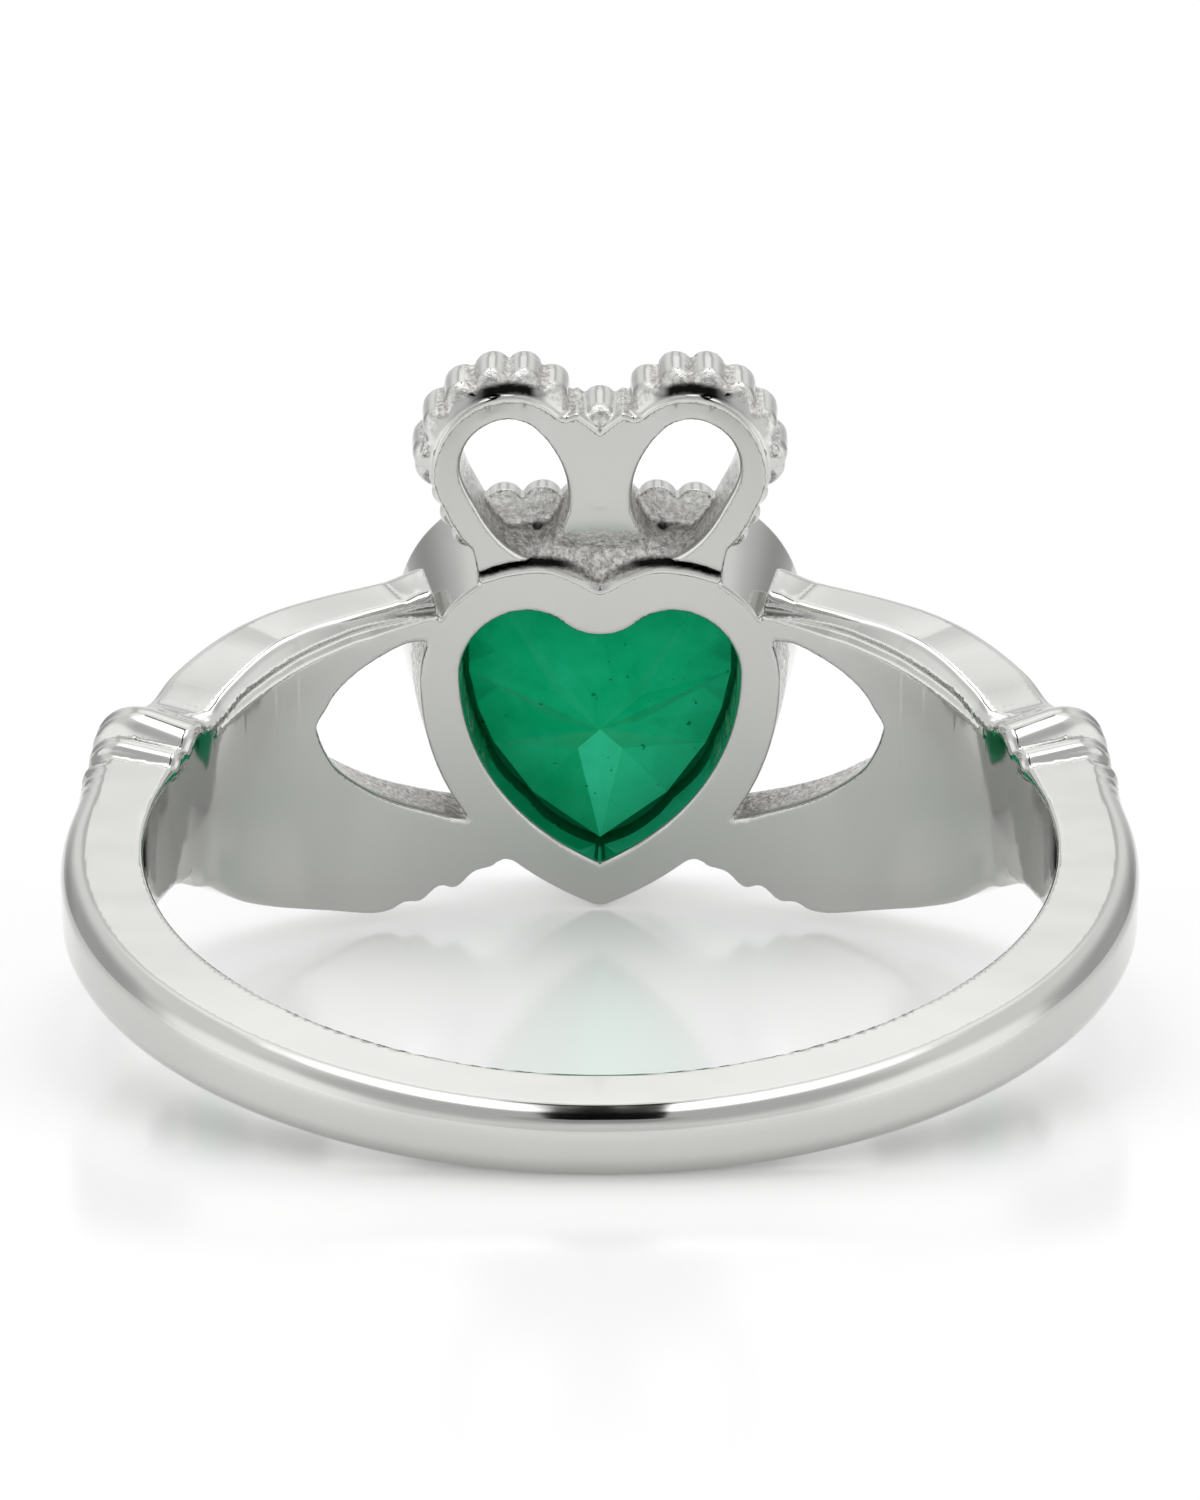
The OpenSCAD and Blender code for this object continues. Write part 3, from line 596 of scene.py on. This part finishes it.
def polishedSilver():
    look = silverLook
    material, tree = emptyMaterial("buffedRhodiumSilver")
    place = addNode(tree, "ShaderNodeTexCoord").outputs["Object"]
    skin = addNode(tree, "ShaderNodeAttribute", attribute_name="castSkin").outputs["Fac"]
    paintedGrooveShade = addNode(tree, "ShaderNodeAttribute", attribute_name="groovePaintedShade").outputs["Fac"]
    ripple = addNode(tree, "ShaderNodeTexNoise", [(place, "Vector")],
                     {"Scale": 1 / (look["rippleMm"] * mm), "Detail": 1.0}).outputs["Fac"]
    grain = addNode(tree, "ShaderNodeTexNoise", [(place, "Vector")],
                    {"Scale": 1 / (look["grainMm"] * mm), "Detail": 4.0, "Roughness": 0.7}).outputs["Fac"]
    depth = addNode(tree, "ShaderNodeMath", [(skin, 0)], {1: look["grainUp"]}, operation="MULTIPLY")
    soft = addNode(tree, "ShaderNodeBump", [(ripple, "Height")],
                   {"Strength": look["rippleUp"], "Distance": 0.3 * mm})
    rough = addNode(tree, "ShaderNodeBump",
                    [(grain, "Height"), (depth.outputs[0], "Strength"), (soft.outputs[0], "Normal")],
                    {"Distance": 0.09 * mm})
    peaks = addNode(tree, "ShaderNodeMapRange", [(grain, "Value")], {"From Min": 0.38, "From Max": 0.62})
    raw = addNode(tree, "ShaderNodeMix", [(peaks.outputs[0], "Factor")],
                  {"A": linearRgb(look["castLow"]), "B": linearRgb(look["castHigh"])}, data_type="RGBA")
    bright = addNode(tree, "ShaderNodeMix", [(skin, "Factor"), (raw.outputs["Result"], "B")],
                     {"A": linearRgb(look["polished"])}, data_type="RGBA")
    # Painted shade: the grooves' mask mixes the silver towards near black
    tint = addNode(tree, "ShaderNodeMix", [(paintedGrooveShade, "Factor"), (bright.outputs["Result"], "A")],
                   {"B": linearRgb(look["paintedShadeDark"])}, data_type="RGBA")
    sheen = addNode(tree, "ShaderNodeMapRange", [(skin, "Value")],
                    {"To Min": look["roughness"], "To Max": look["castRoughness"]})
    shader = addNode(tree, "ShaderNodeBsdfPrincipled",
                     [(tint.outputs["Result"], "Base Color"), (sheen.outputs[0], "Roughness"),
                      (rough.outputs[0], "Normal")], {"Metallic": 1.0})
    addNode(tree, "ShaderNodeOutputMaterial", [(shader.outputs[0], "Surface")])
    return material


ringPiece.data.materials.append(polishedSilver())


# The stone is a faceted heart seen from its pointed side. Each ring of corners has its place y and its
# offset from the girdle's outline. Painted flashes: turn from straight down, then 0 for the deep green and
# 1 for the painted flash of light on a facet
stone = dict(keel=(0, 8.95, -1.55), aimZ=-1.2, mains=[0, 66, 104, 138, 180], inner=0.33, innerY=9.27,
             openY=9.62, openIn=-0.80, neckY=10.0, neckIn=-0.74, girdle=(10.7, 10.82),
             tableY=11.75, tableIn=-1.45, starIn=-0.62, starY=11.4,
             plainPaintedFlash=0.15,
             paintedFlashes=[([-180, -140, -100, -60, 0, 60, 100, 140, 180],
                     [0.2, 0.26, 0.14, 0.06, 0.8, 0.3, 0.1, 0.22, 0.2]),
                    ([-180, -100, -60, 0, 20, 60, 90, 180],
                     [0.22, 0.12, 0.04, 0.34, 0.56, 0.55, 0.12, 0.22]),
                    ([-180, -100, -60, 0, 20, 60, 90, 180],
                     [0.18, 0.06, 0.02, 0.12, 0.4, 0.5, 0.2, 0.18])])


def heartPoint(turn, grow):  # where a line from the middle, turned from straight down, leaves the heart
    t = math.radians(turn)
    near, far = 0.0, 8.0
    for _ in range(40):
        half = (near + far) / 2
        spot = np.array([abs(half * math.sin(t))]), np.array([stone["aimZ"] - half * math.cos(t)])
        near, far = (half, far) if heartForm(spot[0], spot[1], grow)[0] < 0 else (near, half)
    return near * math.sin(t), stone["aimZ"] - near * math.cos(t)


def stoneMesh():
    mains = stone["mains"] + [360 - t for t in stone["mains"][-2:0:-1]]
    turns = []
    for k, turn in enumerate(mains):
        after = mains[(k + 1) % len(mains)] + (360 if k == len(mains) - 1 else 0)
        turns += [turn, (turn + after) / 2]
    n = len(turns)
    points, faces = [stone["keel"]], []
    kx, _, kz = stone["keel"]
    for turn in turns[1::2]:
        x, z = heartPoint(turn, stone["openIn"])
        points.append((kx + stone["inner"] * (x - kx), stone["innerY"], kz + stone["inner"] * (z - kz)))
    m = n // 2

    def ring(y, grow, shift=0.0, parts=1):
        first = len(points)
        for k in range(n * parts):
            a = turns[(k // parts) % n]
            b = turns[(k // parts + 1) % n] + (360 if k // parts == n - 1 else 0)
            x, z = heartPoint(a + (b - a) * (k % parts + shift) / parts, grow)
            points.append((x, y, z))
        return first

    opening = ring(stone["openY"], stone["openIn"])
    for k in range(m):
        left, right = 1 + (k - 1) % m, 1 + k
        faces.append((0, left, opening + 2 * k, right))
        faces.append((right, opening + 2 * k, opening + 2 * k + 1))
        faces.append((right, opening + 2 * k + 1, opening + (2 * k + 2) % n))
    neck = ring(stone["neckY"], stone["neckIn"])
    low, high = ring(stone["girdle"][0], 0.0, parts=2), ring(stone["girdle"][1], 0.0, parts=2)
    star, table = ring(stone["starY"], stone["starIn"], 0.5), ring(stone["tableY"], stone["tableIn"])
    for k in range(n):
        j, two, three, four = (k + 1) % n, 2 * k, 2 * k + 1, (2 * k + 2) % (2 * n)
        faces.append((opening + k, neck + k, neck + j, opening + j))
        faces += [(neck + k, low + two, low + three), (neck + k, low + three, neck + j),
                  (neck + j, low + three, low + four)]
        faces += [(low + two, high + two, high + three, low + three),
                  (low + three, high + three, high + four, low + four)]
        faces += [(high + two, star + k, high + three), (high + three, star + k, high + four)]
        faces += [(high + four, star + k, table + j, star + j), (star + k, table + k, table + j)]
    faces.append(tuple(table + k for k in range(n)))
    # Painted flashes of light: the lower facets get lighter or deeper green by their turn
    paintedFlashes = np.full(len(faces), stone["plainPaintedFlash"])
    for k in range(m):
        turn = mains[k] if mains[k] < 181 else mains[k] - 360
        for j in range(3):
            paintedFlashes[3 * k + j] = np.interp(turn + (20 if j else 0), *stone["paintedFlashes"][j])
    return np.array(points), faces, paintedFlashes


# Emerald-green glass, cut and polished: deep green, hazed by fine veils so that it is only partly clear,
# with a few dark specks; each facet carries a painted flash of light, a lighter green set facet by facet
stoneLook = dict(deep="#00b474", flash="#3cf2ba", speck="#013a22", ior=1.57, roughness=0.04, clearness=0.3,
                 gleam="#108058", veilMm=1.1, veilUp=0.16, speckMm=0.16)


def emeraldGlass():
    look = stoneLook
    material, tree = emptyMaterial("cutEmeraldGlass")
    place = addNode(tree, "ShaderNodeTexCoord").outputs["Object"]
    veil = addNode(tree, "ShaderNodeTexNoise", [(place, "Vector")],
                   {"Scale": 1 / (look["veilMm"] * mm), "Detail": 5.0, "Roughness": 0.65})
    spread = addNode(tree, "ShaderNodeMapRange", [(veil.outputs["Fac"], "Value")],
                     {"From Min": 0.3, "From Max": 0.7, "To Min": -look["veilUp"], "To Max": look["veilUp"]})
    paintedFlash = addNode(tree, "ShaderNodeAttribute", attribute_name="facetPaintedFlash").outputs["Fac"]
    total = addNode(tree, "ShaderNodeMath", [(spread.outputs[0], 0), (paintedFlash, 1)],
                    operation="ADD", use_clamp=True)
    # Painted highlight: the facets' painted flash mixes the deep green towards the light flash green
    tint = addNode(tree, "ShaderNodeMix", [(total.outputs[0], "Factor")],
                   {"A": linearRgb(look["deep"]), "B": linearRgb(look["flash"])}, data_type="RGBA")
    dots = addNode(tree, "ShaderNodeTexNoise", [(place, "Vector")],
                   {"Scale": 1 / (look["speckMm"] * mm), "Detail": 1.0})
    specks = addNode(tree, "ShaderNodeMapRange", [(dots.outputs["Fac"], "Value")],
                     {"From Min": 0.74, "From Max": 0.78, "To Max": 0.7})
    body = addNode(tree, "ShaderNodeMix", [(specks.outputs[0], "Factor"), (tint.outputs["Result"], "A")],
                   {"B": linearRgb(look["speck"])}, data_type="RGBA")
    shader = addNode(tree, "ShaderNodeBsdfPrincipled", [(body.outputs["Result"], "Base Color")],
                     {"Roughness": look["roughness"], "IOR": look["ior"],
                      "Transmission Weight": look["clearness"], "Specular Tint": linearRgb(look["gleam"])})
    addNode(tree, "ShaderNodeOutputMaterial", [(shader.outputs[0], "Surface")])
    return material


stonePoints, stoneFaces, facetPaintedFlashes = stoneMesh()
stonePiece = meshPiece("heartStone", stonePoints, stoneFaces)
addValues(stonePiece, "facetPaintedFlash", "FACE", facetPaintedFlashes)
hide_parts("heart_stone")
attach(stonePiece, "root")
stonePiece.data.materials.append(emeraldGlass())
print("stone", len(stonePiece.data.polygons), "facets")

# A close camera: mm from the ring's middle, degrees, and the size and focal length in pixels
camera = dict(distance=100.0, elevation=28.60, downPx=120.7, focalPx=5247.0, heightPx=1500)


def addCamera():
    e = math.radians(camera["elevation"])
    pitch = e - math.atan(camera["downPx"] / camera["focalPx"])
    spot = camera["distance"] * np.array((0, -math.cos(e), math.sin(e)))
    back = np.array((0, -math.cos(pitch), math.sin(pitch))) @ ringAxes
    up = np.array((0, math.sin(pitch), math.cos(pitch))) @ ringAxes
    data = bpy.data.cameras.new("camera")
    data.sensor_fit = "VERTICAL"
    data.sensor_height = 36
    data.lens = camera["focalPx"] * data.sensor_height / camera["heightPx"]
    data.clip_start = 0.005
    item = bpy.data.objects.new("camera", data)
    right = np.cross(up, back)
    turn = Matrix([[right[i], up[i], back[i]] for i in range(3)]).to_4x4()
    item.matrix_world = Matrix.Translation(Vector(toRow(spot))) @ turn
    bpy.context.scene.collection.objects.link(item)
    bpy.context.scene.camera = item


addCamera()
print("camera placed")

# A light table: white acrylic lit from above and, weakly, from below, so that shadows stay pale
floorLook = dict(halfWidth=1.0, white="#f6f6f6", roughness=0.14, ior=1.46, fromBelow=0.16)


def addFloor():
    w = floorLook["halfWidth"]
    mesh = bpy.data.meshes.new("floor")
    mesh.from_pydata([(-w, -w, 0), (w, -w, 0), (w, w, 0), (-w, w, 0)], [], [(0, 1, 2, 3)])
    item = bpy.data.objects.new("floor", mesh)
    bpy.context.scene.collection.objects.link(item)
    material, tree = emptyMaterial("satinWhiteAcrylicSheet")
    shader = addNode(tree, "ShaderNodeBsdfPrincipled", (),
                     {"Base Color": linearRgb(floorLook["white"]), "Roughness": floorLook["roughness"],
                      "IOR": floorLook["ior"], "Emission Color": (1, 1, 1, 1),
                      "Emission Strength": floorLook["fromBelow"]})
    addNode(tree, "ShaderNodeOutputMaterial", [(shader.outputs[0], "Surface")])
    mesh.materials.append(material)


addFloor()
print("floor laid")

# Soft studio: an even white dome with broad panels and cards, the same on the left and the right.
# Each is turn from the camera's side, height (degrees), half width of its full part and of its fade, gain
studio = dict(
    dome=0.9, darkest=0.004,
    panels=[
        (70, 8, 8, 34, 0.36),
        (122, 12, 8, 34, -0.42),
        (155, 5, 6, 26, -0.22),
        (180, 60, 6, 22, 0.4),
        (180, 28, 10, 40, 0.1),
        (25, 48, 10, 36, -0.3),
        (0, 0, 4, 26, -0.12),
        (0, 42, 2, 14, -0.25),
        (180, 86, 8, 25, 1.7),
    ],
    softbox=dict(way=(0, 0.872, 0.49), full=7.5, fade=9.5, gain=0.36,
                 frameFull=9.5, frameFade=19, frameGain=-0.34),
    card=dict(slope=0.08, half=0.076, near=-0.44, far=0.70, above=0.25, soft=0.02, gain=-3))


def addStudio():
    world = bpy.data.worlds.new("studio")
    bpy.context.scene.world = world
    world.use_nodes = True
    tree = world.node_tree
    tree.nodes.clear()
    way = addNode(tree, "ShaderNodeTexCoord").outputs["Generated"]
    parts = addNode(tree, "ShaderNodeSeparateXYZ", [(way, 0)])
    side = addNode(tree, "ShaderNodeMath", [(parts.outputs[0], 0)], operation="ABSOLUTE")
    folded = addNode(tree, "ShaderNodeCombineXYZ",
                     [(side.outputs[0], 0), (parts.outputs[1], 1), (parts.outputs[2], 2)]).outputs[0]
    level = None
    panels = []
    for turn, height, full, fade, gain in studio["panels"]:
        t, h = math.radians(turn), math.radians(height)
        panelWay = (math.sin(t) * math.cos(h), -math.cos(t) * math.cos(h), math.sin(h))
        panels.append((panelWay, full, fade, gain))
    # The softbox that the hoop's flat side mirrors, with its black frame
    box = studio["softbox"]
    boxWay = np.array(box["way"]) @ ringAxes
    panels.append((boxWay, box["frameFull"], box["frameFade"], box["frameGain"]))
    panels.append((boxWay, box["full"], box["fade"], box["gain"]))
    for panelWay, full, fade, gain in panels:
        aim = addNode(tree, "ShaderNodeVectorMath", [(folded, 0)], {1: panelWay}, operation="DOT_PRODUCT")
        panel = addNode(tree, "ShaderNodeMapRange", [(aim.outputs["Value"], "Value")],
                        {"From Min": math.cos(math.radians(fade)), "From Max": math.cos(math.radians(full)),
                         "To Max": gain}, interpolation_type="SMOOTHSTEP")
        before = [] if level is None else [(level, 1)]
        level = addNode(tree, "ShaderNodeMath", [(panel.outputs[0], 0)] + before, {1: studio["dome"]},
                        operation="ADD").outputs[0]
    # A narrow black card over the ring, square to the finger's axis and reaching behind the zenith
    card = studio["card"]
    edges = [((1, card["slope"], 0), card["half"], -1),
             ((0, -1, 0), -card["far"], 1),
             ((0, 1, 0), card["near"], 1)]
    black = None
    for aimWay, at, sign in edges:
        aim = addNode(tree, "ShaderNodeVectorMath", [(folded, 0)], {1: np.array(aimWay) @ ringAxes},
                      operation="DOT_PRODUCT")
        part = addNode(tree, "ShaderNodeMapRange", [(aim.outputs["Value"], "Value")],
                       {"From Min": at - card["soft"] * sign, "From Max": at + card["soft"] * sign},
                       interpolation_type="SMOOTHSTEP")
        before = [] if black is None else [(black, 1)]
        black = addNode(tree, "ShaderNodeMath", [(part.outputs[0], 0)] + before, {1: card["gain"]},
                        operation="MULTIPLY").outputs[0]
    overhead = addNode(tree, "ShaderNodeMath", [(parts.outputs[2], 0)], {1: card["above"]},
                       operation="GREATER_THAN")
    black = addNode(tree, "ShaderNodeMath", [(black, 0), (overhead.outputs[0], 1)],
                    operation="MULTIPLY").outputs[0]
    level = addNode(tree, "ShaderNodeMath", [(level, 0), (black, 1)], operation="ADD").outputs[0]
    shown = addNode(tree, "ShaderNodeMath", [(level, 0)], {1: studio["darkest"]}, operation="MAXIMUM")
    glow = addNode(tree, "ShaderNodeBackground", [(shown.outputs[0], "Strength")], {"Color": (1, 1, 1, 1)})
    addNode(tree, "ShaderNodeOutputWorld", [(glow.outputs[0], "Surface")])


addStudio()
bpy.context.scene.view_settings.view_transform = "Standard"
print("studio lit")
